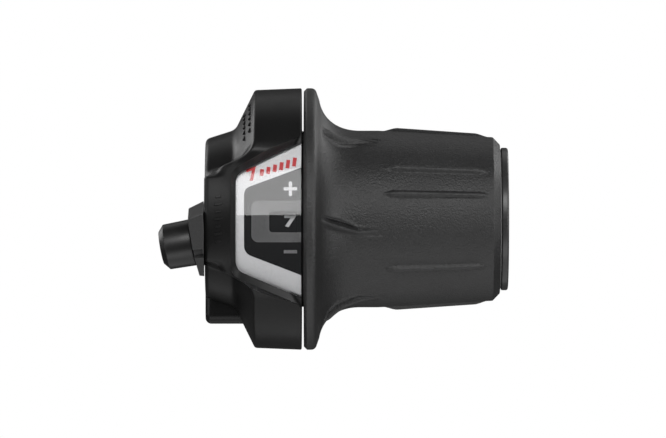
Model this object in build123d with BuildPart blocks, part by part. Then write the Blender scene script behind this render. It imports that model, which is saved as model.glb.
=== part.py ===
from build123d import *
import math
import os

os.makedirs("parts", exist_ok=True)

# Rotating-grip gear shifter for the right end of a 22.2 mm handlebar.
# X runs along the bar towards its open end, the rider is on the -Y side, and Z is up.
# The origin lies on the bar axis, at the inboard end face of the housing.
# Angles round the bar are counted from the rider's side (-Y) towards the top (+Z).

# ---- driving dimensions, mm ----------------------------------------------------------

# bar, sleeve and rotor fits
bar_bore_r = 11.15
sleeve_r = 12.3
overall_end = 61.9
running_gap = 0.07
rotor_bore_r = sleeve_r + running_gap
rotor_r = 13.9
seat_gap = 0.02
hub_bore_r = rotor_r + seat_gap

# housing: barrel cone, steep cone and drum, as (x, r)
cone_start_r = 16.3
shoulder_x, shoulder_r = 6.1, 18.3
drum_x, drum_r = 10.1, 26.4
rim_x, rim_r = 19.7, 26.8
end_wall = 1.2
side_wall = 1.3
cone_wall_x = 1.7
drum_wall = 1.65

# nose: the raised front band that carries the window
nose_r0, nose_slope = 22.5, 0.12
nose_wall = 1.5

# lens: a cone that is flush with the rim and sunk below the nose
lens_x, lens_r = 6.4, 22.4
lens_rim_r = 25.9
lens_thick = 1.0
panel_gap = 0.05
panel_thick = 0.7

# gear indexing
clicks = 6
click_deg = 11.0
wire_r = 0.6
groove_r = 14.5
spool_r = 16.2
spool_x0, spool_x1 = 12.7, 17.7
groove_x = 14.8
pitch_r = groove_r + wire_r

# indicator dial
dial_r = 21.7
dial_wall = 1.0
dial_x0, dial_x1 = 13.2, 18.9

# detent
detent_x = 10.8
detent_x0, detent_x1 = 9.7, 12.3
crest_r = 15.5
ball_r = 1.1
ball_lift = 0.6
ball_bore_r = 1.13
ball_z = crest_r + ball_r + 0.05
boss_top_z = 21.8

# bulkhead of the bracket
bulkhead_x0, bulkhead_x1 = 7.7, 9.0
bulkhead_r = 17.5

# rubber sleeve
flange_x = 20.13
flange_r = 26.8
sleeve_flat_r = 18.1
sleeve_end_r = 16.76
sleeve_end_x = 58.8
grip_end_x = 60.25

# end ring
ring_x = 60.45
ring_r = 14.6

# clamp
band_x0, band_x1 = 1.35, 7.05
band_r = 13.4
bolt_x, bolt_z = 4.4, -16.5
bolt_r = 2.0
slit_y = 4.4
tab_thick = 1.8
head_y = 7.85
head_r, head_height = 3.5, 4.0

# adjusting barrel: its axis leaves the end face of the nose, tipped down and away
barrel_origin = (0.0, -17.0, -4.3)
barrel_down_deg = 10.2
barrel_away_deg = 4.0
barrel_r = 4.75
stem_r = 2.5
thread_pitch = 0.8
socket_r = 2.55
hex_flats, hex_foot_flats = 12.2, 14.3
hex_turn_deg = 10.3
hex_length = 2.15
barrel_end = 8.85

# cover screws
screw_radius = 20.6
screw_angles = (180 - 38, 180 + 38)

# ---- derived planes and helpers -------------------------------------------------------


def around(x, r, angle):
    """Point at station x, distance r from the bar axis, at an angle from the rider's side."""
    return (x, -r * math.cos(math.radians(angle)), r * math.sin(math.radians(angle)))


def radial_plane(angle):
    """Plane through the bar axis's origin whose normal points outwards at an angle."""
    return Plane(origin=(0, 0, 0), x_dir=(1, 0, 0), z_dir=around(0, 1, angle))


def turned(points, mode=Mode.ADD):
    """Revolve a closed outline of (x, r) points about the bar axis, in the open part."""
    with BuildSketch(Plane.XZ) as outline:
        with BuildLine():
            Polyline(*points, close=True)
        make_face()
    revolve(outline.sketch, axis=Axis.X, mode=mode)


def ring(x0, x1, r0, r1, mode=Mode.ADD):
    """A plain ring about the bar axis, in the open part."""
    turned([(x0, r0), (x1, r0), (x1, r1), (x0, r1)], mode)


def lens_radius(x):
    """Outer radius of the lens at station x."""
    return lens_r + (lens_rim_r - lens_r) * (x - lens_x) / (rim_x - lens_x)


def finish(part, name):
    """Label a finished piece and write it out."""
    part.label = name
    export_step(part, f"parts/{name}.step")


down = math.radians(barrel_down_deg)
away = math.radians(barrel_away_deg)
barrel_out = Vector(-math.cos(down) * math.cos(away), math.sin(away), -math.sin(down)).normalized()
barrel_plane = Plane(origin=barrel_origin, x_dir=(0, 0, 1), z_dir=barrel_out)
barrel_axis = Axis(barrel_origin, barrel_out)
barrel_side = Plane(origin=barrel_origin, x_dir=barrel_plane.x_dir, z_dir=barrel_plane.y_dir)


def barrel_turned(points, mode=Mode.ADD):
    """Revolve a closed outline of (r, u) points about the barrel axis; u grows outwards."""
    with BuildSketch(barrel_side) as outline:
        with BuildLine():
            Polyline(*[(r, -u) for r, u in points], close=True)
        make_face()
    revolve(outline.sketch, axis=barrel_axis, mode=mode)


# ---- outlines seen from the rider's side ----------------------------------------------

past_rim = rim_x + 1.0
front_reach = 40.0

with BuildSketch(Plane.XZ) as lens_outline:
    with BuildLine():
        Polyline(
            (lens_x, -10.3),
            (lens_x, 8.95),
            (12.1, 11.6),
            (past_rim, 15.86),
            (past_rim, -16.4),
            close=True,
        )
    make_face()
    fillet(lens_outline.vertices().group_by(Axis.X)[0], radius=2.6)

with BuildSketch(Plane.XZ) as bezel_outline:
    with BuildLine():
        Polyline(
            (5.4, -11.4),
            (5.4, 9.95),
            (10.0, 12.1),
            (18.0, 15.9),
            (rim_x - 0.35, 17.2),
            (rim_x, 18.4),
            (past_rim, 18.4),
            (past_rim, -18.9),
            (rim_x, -18.9),
            (rim_x - 0.35, -17.9),
            (18.0, -16.85),
            close=True,
        )
    make_face()
    fillet(bezel_outline.vertices().group_by(Axis.X)[0], radius=3.2)

with BuildSketch(Plane.XZ) as nose_outline:
    with BuildLine():
        Polyline((0, 8.2), (1.05, 9.9))
        ThreePointArc((1.05, 9.9), (2.5, 11.3), (4.6, 12.3))
        Polyline((4.6, 12.3), (6.3, 13.6), (12, 13.6), (12, -13.8), (6.2, -13.8), (4.6, -12.6))
        ThreePointArc((4.6, -12.6), (2.9, -11.8), (1.2, -10.2))
        Polyline((1.2, -10.2), (0, -8.4), (0, 8.2))
    make_face()

with BuildSketch(Plane.XZ) as nose_core_outline:
    offset(nose_outline.sketch, amount=-nose_wall)

# ---- housing cover --------------------------------------------------------------------

nose_end_x = 12.0
with BuildPart() as nose_block:
    turned(
        [
            (0, 0),
            (0, nose_r0 - 0.8),
            (0.8, nose_r0 + nose_slope * 0.8),
            (nose_end_x, nose_r0 + nose_slope * nose_end_x),
            (nose_end_x, 0),
        ]
    )
    extrude(nose_outline.sketch, amount=front_reach, mode=Mode.INTERSECT)

with BuildPart() as nose_core:
    turned(
        [
            (end_wall, 0),
            (end_wall, nose_r0 - nose_wall),
            (nose_end_x, nose_r0 + nose_slope * nose_end_x - nose_wall),
            (nose_end_x, 0),
        ]
    )
    extrude(nose_core_outline.sketch, amount=front_reach, mode=Mode.INTERSECT)

lump_front, lump_back = -3.4, 12.2
lump_bottom, lump_top = -21.45, -10.0
lump_length = 9.4
lump_mid = ((lump_front + lump_back) / 2, (lump_bottom + lump_top) / 2)
lump_size = (lump_back - lump_front, lump_top - lump_bottom)
lump_wall = 1.15

with BuildPart() as clamp_lump:
    with BuildSketch(Plane.YZ):
        with Locations(lump_mid):
            RectangleRounded(*lump_size, radius=2.0)
    extrude(amount=lump_length)
    fillet(clamp_lump.faces().sort_by(Axis.X)[0].edges(), radius=1.2)

with BuildPart() as bezel_recess:
    extrude(bezel_outline.sketch, amount=front_reach)
    turned(
        [
            (0, 0),
            (0, lens_radius(0)),
            (past_rim, lens_radius(past_rim)),
            (past_rim, 0),
        ],
        Mode.SUBTRACT,
    )

head_pocket_r = head_r + 0.2
screw_head_r = 2.2
screw_floor_x = 8.6
boss_r = 3.0
boss_end_x = 10.2

port_angle = -60.0
port_mid = around(groove_x, pitch_r, port_angle)
port_dir = (0, math.cos(math.radians(30)), -math.sin(math.radians(30)))
port_plane = Plane(origin=port_mid, x_dir=(1, 0, 0), z_dir=port_dir)
port_r = 2.6

outer_outline = [
    (0, 0),
    (0, cone_start_r - 0.4),
    (0.4, cone_start_r),
    (shoulder_x, shoulder_r),
    (drum_x - 0.3, drum_r - 0.6),
    (drum_x + 0.2, drum_r),
    (rim_x - 0.3, rim_r),
    (rim_x, rim_r - 0.3),
    (rim_x, 0),
]
frame_depth = 1.9
frame_width = 1.0

# frame that carries the lens, between the outer surface and the back of the lens
with BuildSketch(Plane.XZ) as frame_outline:
    offset(bezel_outline.sketch, amount=frame_width)

with BuildPart() as window_frame:
    turned(outer_outline)
    add(nose_block.part)
    turned(
        [
            (-1, 0),
            (-1, lens_radius(-1) - frame_depth),
            (past_rim, lens_radius(past_rim) - frame_depth),
            (past_rim, 0),
        ],
        Mode.SUBTRACT,
    )
    extrude(frame_outline.sketch, amount=front_reach, mode=Mode.INTERSECT)

with BuildPart() as housing_cover:
    turned(outer_outline)
    add(nose_block.part)
    add(clamp_lump.part)
    # hollow inside
    turned(
        [
            (end_wall, 0),
            (end_wall, cone_start_r - side_wall),
            (shoulder_x + 1.06, shoulder_r - side_wall),
            (drum_x + cone_wall_x - 0.8, drum_r - drum_wall),
            (rim_x, rim_r - drum_wall),
            (rim_x + 1, rim_r - drum_wall),
            (rim_x + 1, 0),
        ],
        Mode.SUBTRACT,
    )
    add(nose_core.part, mode=Mode.SUBTRACT)
    with BuildSketch(Plane.YZ.offset(end_wall)):
        with Locations(lump_mid):
            Rectangle(lump_size[0] - 2 * lump_wall, lump_size[1] - 2 * lump_wall)
    extrude(amount=lump_length - 1.4 - end_wall, mode=Mode.SUBTRACT)
    # bore for the bar sleeve, through the end wall
    ring(-1, end_wall + 0.5, 0, sleeve_r + 0.3, Mode.SUBTRACT)
    # bosses for the cover screws, with their head pockets and clearance holes
    for angle in screw_angles:
        _, screw_y, screw_z = around(0, screw_radius, angle)
        with BuildSketch(Plane.YZ.offset(screw_floor_x - 0.4)):
            with Locations((screw_y, screw_z)):
                Circle(boss_r)
        extrude(amount=boss_end_x - screw_floor_x + 0.4)
        with BuildSketch(Plane.YZ.offset(4)):
            with Locations((screw_y, screw_z)):
                Circle(screw_head_r + 0.4)
        extrude(amount=screw_floor_x - 4, mode=Mode.SUBTRACT)
        with BuildSketch(Plane.YZ.offset(4)):
            with Locations((screw_y, screw_z)):
                Circle(1.35)
        extrude(amount=8, mode=Mode.SUBTRACT)
    # window opening and the recess round it
    add(window_frame.part)
    add(bezel_recess.part, mode=Mode.SUBTRACT)
    with BuildSketch(Plane.XZ.offset(12)):
        offset(lens_outline.sketch, amount=0.04)
    extrude(amount=front_reach, mode=Mode.SUBTRACT)
    # pocket for the clamp bolt head, open at the back
    with BuildSketch(Plane.XZ.offset(-7.0)):
        with Locations((bolt_x, bolt_z)):
            Circle(head_pocket_r)
    extrude(amount=-8, mode=Mode.SUBTRACT)
    # hole for the collar's shank
    barrel_turned([(0, -6), (3.45, -6), (3.45, 2), (0, 2)], Mode.SUBTRACT)
    # cable-change port
    with BuildSketch(port_plane):
        Circle(port_r)
    extrude(amount=45, mode=Mode.SUBTRACT)

# ---- bracket --------------------------------------------------------------------------

lug_r = 2.5
lug_x0, lug_x1 = 10.3, 12.5

with BuildPart() as bracket_base:
    ring(0, overall_end, bar_bore_r, sleeve_r)
    ring(bulkhead_x0, bulkhead_x1, bar_bore_r, bulkhead_r)
    # arms and lugs that take the cover screws
    for angle in screw_angles:
        with BuildSketch(radial_plane(angle).offset(spool_r)):
            with Locations(((8.0 + lug_x1) / 2, 0)):
                Rectangle(lug_x1 - 8.0, 4.0)
        extrude(amount=screw_radius - spool_r)
        _, screw_y, screw_z = around(0, screw_radius, angle)
        with BuildSketch(Plane.YZ.offset(lug_x0)):
            with Locations((screw_y, screw_z)):
                Circle(lug_r)
        extrude(amount=lug_x1 - lug_x0)
        with BuildSketch(Plane.YZ.offset(7)):
            with Locations((screw_y, screw_z)):
                Circle(boss_r + 0.25)
        extrude(amount=lug_x0 - 7, mode=Mode.SUBTRACT)
        with BuildSketch(Plane.YZ.offset(lug_x0)):
            with Locations((screw_y, screw_z)):
                Circle(1.22)
        extrude(amount=6, mode=Mode.SUBTRACT)
    # boss for the detent ball, on top
    with BuildSketch(Plane.XY.offset(crest_r + 0.7)):
        with Locations(((8.0 + 12.5) / 2, 0)):
            Rectangle(12.5 - 8.0, 4.6)
    extrude(amount=boss_top_z - crest_r - 0.7)
    # everything stays clear of the cover's steep cone
    turned(
        [
            (bulkhead_x0, bulkhead_r),
            (drum_x + cone_wall_x + 0.25, drum_r),
            (5, drum_r),
            (5, bulkhead_r),
        ],
        Mode.SUBTRACT,
    )
    with BuildSketch(Plane.XY.offset(crest_r)):
        with Locations((detent_x, 0)):
            Circle(ball_bore_r)
    extrude(amount=10, mode=Mode.SUBTRACT)
    # slit in the clamped end of the sleeve
    with BuildSketch(Plane.XY.offset(-sleeve_r - 1)):
        with Locations((bulkhead_x0 / 2 - 0.6, slit_y)):
            Rectangle(bulkhead_x0, 1.0)
    extrude(amount=4, mode=Mode.SUBTRACT)
    # notch for the clamp bolt's head, and one for the cable guide
    with BuildSketch(Plane.XZ.offset(-5)):
        with Locations((bolt_x, bolt_z)):
            Circle(head_pocket_r)
    extrude(amount=-10, mode=Mode.SUBTRACT)
    barrel_turned([(0, -12), (1.8, -12), (1.8, -5), (0, -5)], Mode.SUBTRACT)

# ---- clamp ----------------------------------------------------------------------------

tab_bottom = -20.1
tab_tops = {slit_y - 1.0 - tab_thick: -12.4, slit_y + 1.0: -11.2}

with BuildPart() as clamp_band:
    ring(band_x0, band_x1, sleeve_r + 0.03, band_r)
    with BuildSketch(Plane.XY.offset(-band_r - 1)):
        with Locations(((band_x0 + band_x1) / 2, slit_y)):
            Rectangle(band_x1 - band_x0 + 2, 2.0)
    extrude(amount=6, mode=Mode.SUBTRACT)
    for tab_y, tab_top in tab_tops.items():
        with BuildSketch(Plane.XZ.offset(-tab_y)):
            with Locations(((band_x0 + band_x1) / 2, (tab_top + tab_bottom) / 2)):
                Rectangle(band_x1 - band_x0, tab_top - tab_bottom)
        extrude(amount=-tab_thick)
    with BuildSketch(Plane.XZ):
        with Locations((bolt_x, bolt_z)):
            Circle(bolt_r + 0.1)
    extrude(amount=-10, mode=Mode.SUBTRACT)

washer_thick = 0.6
bolt_length = 10.0

with BuildPart() as clamp_bolt:
    with BuildSketch(Plane.XZ.offset(-head_y)):
        with Locations((bolt_x, bolt_z)):
            Circle(head_r)
    extrude(amount=-head_height)
    chamfer(clamp_bolt.faces().sort_by(Axis.Y)[-1].edges(), length=0.4)
    with BuildSketch(Plane.XZ.offset(-head_y)):
        with Locations((bolt_x, bolt_z)):
            Circle(bolt_r)
    extrude(amount=bolt_length)
    with BuildSketch(Plane.XZ.offset(-head_y - head_height)):
        with Locations((bolt_x, bolt_z)):
            RegularPolygon(radius=1.5, side_count=6, major_radius=False)
    extrude(amount=2.2, mode=Mode.SUBTRACT)

with BuildPart() as bolt_washer:
    with BuildSketch(Plane.XZ.offset(-head_y + washer_thick + 0.02)):
        with Locations((bolt_x, bolt_z)):
            Circle(head_r - 0.1)
            Circle(bolt_r + 0.1, mode=Mode.SUBTRACT)
    extrude(amount=-washer_thick)

nut_front, nut_back = -1.75, slit_y - 1.0 - tab_thick - 0.02

with BuildPart() as clamp_nut:
    with BuildSketch(Plane.XZ.offset(-nut_back)):
        with Locations((bolt_x, bolt_z)):
            Circle(2.8)
            Circle(bolt_r + 0.03, mode=Mode.SUBTRACT)
    extrude(amount=nut_back - nut_front)
    with BuildSketch(Plane.XZ.offset(-nut_back)):
        with Locations((bolt_x, bolt_z - 2.9), (bolt_x, bolt_z + 2.9)):
            Rectangle(8, 0.8)
    extrude(amount=nut_back - nut_front, mode=Mode.SUBTRACT)

# ---- cover screws ---------------------------------------------------------------------

with BuildPart() as cover_screws:
    for angle in screw_angles:
        _, screw_y, screw_z = around(0, screw_radius, angle)
        with BuildSketch(Plane.YZ.offset(screw_floor_x - 1.4)):
            with Locations((screw_y, screw_z)):
                Circle(screw_head_r)
        extrude(amount=1.38)
        with BuildSketch(Plane.YZ.offset(screw_floor_x - 0.3)):
            with Locations((screw_y, screw_z)):
                Circle(1.18)
        extrude(amount=lug_x1 - screw_floor_x + 0.2)
        with BuildSketch(Plane.YZ.offset(screw_floor_x - 1.5)):
            with Locations((screw_y, screw_z)):
                Rectangle(2.6, 0.55)
                Rectangle(0.55, 2.6)
        extrude(amount=0.9, mode=Mode.SUBTRACT)

# ---- window ---------------------------------------------------------------------------

lens_end_x = rim_x - 0.03

with BuildPart() as window_lens:
    turned(
        [
            (5, lens_radius(5) - lens_thick),
            (5, lens_radius(5)),
            (lens_end_x, lens_radius(lens_end_x)),
            (lens_end_x, lens_radius(lens_end_x) - lens_thick),
        ]
    )
    extrude(lens_outline.sketch, amount=front_reach, mode=Mode.INTERSECT)

panel_top = lens_thick + panel_gap
panel_bottom = panel_top + panel_thick
number_low, number_high = -2.7, 1.6

with BuildPart() as indicator_panel:
    turned(
        [
            (5, lens_radius(5) - panel_bottom),
            (5, lens_radius(5) - panel_top),
            (lens_end_x, lens_radius(lens_end_x) - panel_top),
            (lens_end_x, lens_radius(lens_end_x) - panel_bottom),
        ]
    )
    extrude(lens_outline.sketch, amount=front_reach, mode=Mode.INTERSECT)
    with BuildSketch(Plane.XZ):
        with Locations(((dial_x0 + past_rim) / 2, (number_low + number_high) / 2)):
            Rectangle(past_rim - dial_x0, number_high - number_low)
    extrude(amount=front_reach, mode=Mode.SUBTRACT)

# ---- cable port plug ------------------------------------------------------------------

with BuildPart() as cable_port_plug:
    with BuildSketch(port_plane):
        Circle(port_r - 0.05)
    extrude(amount=45)
    ring(groove_x - 4, groove_x + 4, dial_r + 0.8, drum_r + 0.15, Mode.INTERSECT)
    ring(groove_x - 4, groove_x + 4, 0, dial_r + 0.8, Mode.SUBTRACT)

# ---- adjusting barrel -----------------------------------------------------------------

shank_r = 3.4
ring_pocket_r = 4.1
ring_pocket_u = 0.9
click_ring_length = 1.0
bar_side_gap = 1.0

with BuildPart() as barrel_insert:
    # hexagon that widens towards the nose
    for u, flats in ((-2, hex_foot_flats), (hex_length, hex_flats)):
        with BuildSketch(barrel_plane.offset(u)):
            RegularPolygon(radius=flats / 2, side_count=6, major_radius=False, rotation=hex_turn_deg)
    loft()
    # the collar stands on the end face of the nose
    with BuildSketch(Plane.YZ):
        Rectangle(80, 80)
    extrude(amount=8, mode=Mode.SUBTRACT)
    # room for the handlebar beside the hexagon
    ring(-hex_foot_flats, 0, 0, bar_bore_r + bar_side_gap, Mode.SUBTRACT)
    barrel_turned([(0, -3.4), (shank_r, -3.4), (shank_r, 0.6), (0, 0.6)])
    barrel_turned([(0, -4), (stem_r + 0.03, -4), (stem_r + 0.03, 4), (0, 4)], Mode.SUBTRACT)
    barrel_turned(
        [(0, ring_pocket_u), (ring_pocket_r, ring_pocket_u), (ring_pocket_r, 4), (0, 4)],
        Mode.SUBTRACT,
    )

shoulder_u = hex_length + 0.15
chamfer_length = 1.3
flat_half = 2.15

with BuildPart() as adjusting_barrel:
    barrel_turned(
        [
            (0.9, -3.0),
            (stem_r, -3.0),
            (stem_r, shoulder_u),
            (barrel_r - 0.2, shoulder_u),
            (barrel_r, shoulder_u + 0.2),
            (barrel_r - 0.2, barrel_end - chamfer_length),
            (barrel_r - 0.2 - chamfer_length, barrel_end),
            (socket_r, barrel_end),
            (socket_r, barrel_end - 5.5),
            (0.9, barrel_end - 5.5),
        ]
    )
    # two flats on the stem, for the keyed click ring
    with BuildSketch(barrel_plane.offset(-3.5)):
        with Locations((0, flat_half + 1), (0, -flat_half - 1)):
            Rectangle(8, 2)
    extrude(amount=shoulder_u + 3.5, mode=Mode.SUBTRACT)

with BuildPart() as barrel_click_ring:
    with BuildSketch(barrel_plane.offset(ring_pocket_u + 0.1)):
        Circle(ring_pocket_r - 0.08)
        Circle(stem_r + 0.06, mode=Mode.SUBTRACT)
        with Locations((0, flat_half + 0.06 + 0.5), (0, -flat_half - 0.06 - 0.5)):
            Rectangle(4, 1)
    extrude(amount=click_ring_length)

# ---- cable guide ----------------------------------------------------------------------

guide_r, guide_bore_r = 1.6, 0.8
guide_bend_r = 6.0
corner_u = (groove_x - barrel_origin[0]) / barrel_out.X
guide_corner = Vector(*barrel_origin) + barrel_out * corner_u
corner_dist = math.hypot(guide_corner.Y, guide_corner.Z)
corner_angle = math.degrees(math.atan2(guide_corner.Z, -guide_corner.Y))
wrap_angle = corner_angle - math.degrees(math.acos(pitch_r / corner_dist))
wrap_point = Vector(*around(groove_x, pitch_r, wrap_angle))
guide_start = Vector(*barrel_origin) + barrel_out * -3.6

with BuildPart() as cable_guide:
    with BuildLine() as guide_path:
        FilletPolyline(guide_start, guide_corner, wrap_point, radius=guide_bend_r)
    with BuildSketch(Plane(origin=guide_start, z_dir=barrel_out * -1)):
        Circle(guide_r)
    sweep(path=guide_path.line)
    with BuildSketch(Plane(origin=guide_start, z_dir=barrel_out * -1)):
        Circle(guide_bore_r)
    sweep(path=guide_path.line, mode=Mode.SUBTRACT)
    ring(spool_x0 - 0.35, spool_x1 + 0.35, 0, spool_r + 0.35, Mode.SUBTRACT)
    ring(detent_x0 - 0.35, detent_x1 + 0.35, 0, crest_r + 0.35, Mode.SUBTRACT)

# ---- detent ---------------------------------------------------------------------------

with BuildPart() as detent_ball:
    with Locations((detent_x, 0, ball_z)):
        Sphere(ball_r)

cap_z = 21.0
spring_wire_r = 0.14
spring_r = ball_bore_r - spring_wire_r - 0.06
spring_z0 = ball_z + 0.72
spring_height = cap_z - spring_z0 - 2 * spring_wire_r

with BuildPart() as detent_spring:
    with BuildLine(Plane.XY.offset(spring_z0 + spring_wire_r)) as coil:
        Helix(pitch=spring_height / 4.5, height=spring_height, radius=spring_r)
    with BuildSketch(Plane(origin=coil.line @ 0, z_dir=coil.line % 0)):
        Circle(spring_wire_r)
    sweep(path=coil.line)
detent_spring.part = detent_spring.part.moved(Location((detent_x, 0, 0)))

with BuildPart() as detent_cap:
    with BuildSketch(Plane.XY.offset(cap_z)):
        with Locations((detent_x, 0)):
            Circle(ball_bore_r - 0.02)
    extrude(amount=boss_top_z - cap_z)
    with BuildSketch(Plane.XY.offset(boss_top_z)):
        with Locations((detent_x, 0)):
            Rectangle(0.4, 3)
    extrude(amount=-0.4, mode=Mode.SUBTRACT)

notch_r = ball_r + 0.1
with BuildPart() as detent_ring:
    ring(detent_x0, detent_x1, hub_bore_r, crest_r)
    for click in range(clicks + 1):
        _, notch_y, notch_z = around(0, ball_z - ball_lift + 0.03, 90 + click * click_deg)
        with BuildSketch(Plane.YZ.offset(detent_x0 - 1)):
            with Locations((notch_y, notch_z)):
                Circle(notch_r)
        extrude(amount=detent_x1 - detent_x0 + 2, mode=Mode.SUBTRACT)

# ---- rotor ----------------------------------------------------------------------------

rotor_x0, rotor_x1 = 9.6, 59.8
core_x0, core_x1, core_r = 20.9, 21.9, 24.6
shoulder_ring_r = 18.0
spline_count = 12
spline_x0, spline_x1 = 24.0, 57.0
spline_width, spline_height = 1.6, 0.6

with BuildPart() as rotor_tube:
    ring(rotor_x0, rotor_x1, rotor_bore_r, rotor_r)
    ring(dial_x1 + 0.1, core_x1, rotor_bore_r, shoulder_ring_r)
    ring(core_x0, core_x1, rotor_bore_r, core_r)
    for index in range(spline_count):
        angle = (index + 0.5) * 360 / spline_count
        with BuildSketch(radial_plane(angle).offset(rotor_r - 0.4)):
            with Locations(((spline_x0 + spline_x1) / 2, 0)):
                Rectangle(spline_x1 - spline_x0, spline_width)
        extrude(amount=spline_height + 0.4)

lobe_angle = -62.0
lobe_r = 19.8
head_pocket_mid_r = 17.2
cable_head_r = 2.25

with BuildPart() as cable_spool:
    turned(
        [
            (spool_x0, hub_bore_r),
            (spool_x0, spool_r),
            (groove_x - 0.85, spool_r),
            (groove_x - 0.65, groove_r + 0.5),
            (groove_x - 0.3, groove_r),
            (groove_x + 0.3, groove_r),
            (groove_x + 0.65, groove_r + 0.5),
            (groove_x + 0.85, spool_r),
            (spool_x1, spool_r),
            (spool_x1, hub_bore_r),
        ]
    )
    with BuildSketch(radial_plane(lobe_angle).offset(groove_r + 0.3)):
        with Locations(((spool_x0 + spool_x1) / 2, 0)):
            Rectangle(spool_x1 - spool_x0 - 0.4, 6.0)
    extrude(amount=lobe_r - groove_r - 0.3)
    lobe_mid = around(groove_x, head_pocket_mid_r, lobe_angle)
    lobe_tangent = around(0, 1, lobe_angle + 90)
    with BuildSketch(Plane(origin=lobe_mid, x_dir=(1, 0, 0), z_dir=lobe_tangent).offset(-1.6)):
        Circle(0.8)
    extrude(amount=8, mode=Mode.SUBTRACT)
    with BuildSketch(Plane(origin=lobe_mid, x_dir=(1, 0, 0), z_dir=lobe_tangent).offset(1.6)):
        Circle(cable_head_r)
    extrude(amount=-8, mode=Mode.SUBTRACT)

with BuildPart() as indicator_dial:
    ring(dial_x1 - 0.9, dial_x1, hub_bore_r, dial_r - dial_wall / 2)
    turned(
        [
            (dial_x0, dial_r - dial_wall),
            (dial_x0, dial_r - 0.2),
            (dial_x0 + 0.2, dial_r),
            (dial_x1 - 0.2, dial_r),
            (dial_x1, dial_r - 0.2),
            (dial_x1, dial_r - dial_wall),
        ]
    )

# rubber sleeve: flange, concave flare, flat and taper, then a chamfered end
rubber_end_r = 15.25
end_bore_r = 14.6


def spindle(start, end, half_width):
    """A rib that is fat in the middle and pointed at both ends, along a chord of the sleeve."""
    chord = Vector(*end) - Vector(*start)
    middle = (Vector(*start) + Vector(*end)) / 2
    outwards = Vector(0, middle.Y, middle.Z).normalized()
    side = Plane(origin=start, x_dir=chord, z_dir=chord.cross(outwards))
    with BuildSketch(side) as half:
        with BuildLine():
            ThreePointArc((0, 0), (chord.length / 2, half_width), (chord.length, 0))
            Line((chord.length, 0), (0, 0))
        make_face()
    revolve(half.sketch, axis=Axis(start, chord))


rib_angles = (35.0, 16.5, -34.5, -95.0, 95.0, 125.0, 180.0, -145.0)
leaf_angles = (
    (49.0, 64.0),
    (0.0, -11.6),
    (-67.0, -57.0),
    (100.0, 92.0),
    (150.0, 160.0),
    (-125.0, -118.0),
)

with BuildPart() as grip_rubber:
    with BuildSketch(Plane.XZ):
        with BuildLine():
            Polyline(
                (23.4, 23.2),
                (22.9, 25.7),
                (21.7, flange_r),
                (flange_x + 0.65, flange_r),
                (flange_x, flange_r - 0.65),
                (flange_x, rotor_r),
                (rotor_x1, rotor_r),
                (rotor_x1, end_bore_r),
                (grip_end_x, end_bore_r),
                (grip_end_x, rubber_end_r),
                (sleeve_end_x, sleeve_end_r),
                (35.9, sleeve_flat_r),
                (31.4, sleeve_flat_r),
            )
            ThreePointArc((31.4, sleeve_flat_r), (26.1, 19.6), (23.4, 23.2))
        make_face()
    revolve(axis=Axis.X)
    for angle in rib_angles:
        rib_start = around(35.9, sleeve_flat_r - 0.35, angle)
        rib_end = around(57.8, sleeve_end_r - 0.2, angle)
        spindle(rib_start, rib_end, 1.0)
    for root_angle, tip_angle in leaf_angles:
        leaf_root = around(23.0, 21.6, root_angle)
        leaf_tip = around(34.5, sleeve_flat_r - 0.9, tip_angle)
        spindle(leaf_root, leaf_tip, 1.3)
    add(rotor_tube.part, mode=Mode.SUBTRACT)

# ---- washers and end ring -------------------------------------------------------------

with BuildPart() as inner_washer:
    ring(bulkhead_x1 + 0.1, rotor_x0 - 0.1, sleeve_r + 0.1, crest_r - 0.6)

with BuildPart() as end_washer:
    ring(rotor_x1 + 0.1, ring_x - 0.1, sleeve_r + 0.1, end_bore_r - 0.3)

with BuildPart() as end_ring:
    turned(
        [
            (ring_x, sleeve_r + 0.02),
            (ring_x, ring_r - 0.4),
            (ring_x + 0.12, ring_r - 0.12),
            (ring_x + 0.4, ring_r),
            (overall_end - 0.4, ring_r),
            (overall_end - 0.12, ring_r - 0.12),
            (overall_end, ring_r - 0.4),
            (overall_end, sleeve_r + 0.02),
        ]
    )

# ---- hand the pieces over -------------------------------------------------------------

pieces = {
    "bracket_base": bracket_base,
    "housing_cover": housing_cover,
    "window_lens": window_lens,
    "indicator_panel": indicator_panel,
    "clamp_band": clamp_band,
    "clamp_bolt": clamp_bolt,
    "bolt_washer": bolt_washer,
    "clamp_nut": clamp_nut,
    "cover_screws": cover_screws,
    "cable_guide": cable_guide,
    "barrel_insert": barrel_insert,
    "detent_spring": detent_spring,
    "detent_cap": detent_cap,
    "cable_port_plug": cable_port_plug,
    "inner_washer": inner_washer,
    "end_washer": end_washer,
    "end_ring": end_ring,
    "rotor_tube": rotor_tube,
    "grip_rubber": grip_rubber,
    "cable_spool": cable_spool,
    "indicator_dial": indicator_dial,
    "detent_ring": detent_ring,
    "detent_ball": detent_ball,
    "barrel_click_ring": barrel_click_ring,
    "adjusting_barrel": adjusting_barrel,
}

for name, piece in pieces.items():
    finish(piece.part, name)
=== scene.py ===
import math

import bmesh
import bpy
from mathutils import Matrix, Vector


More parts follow.
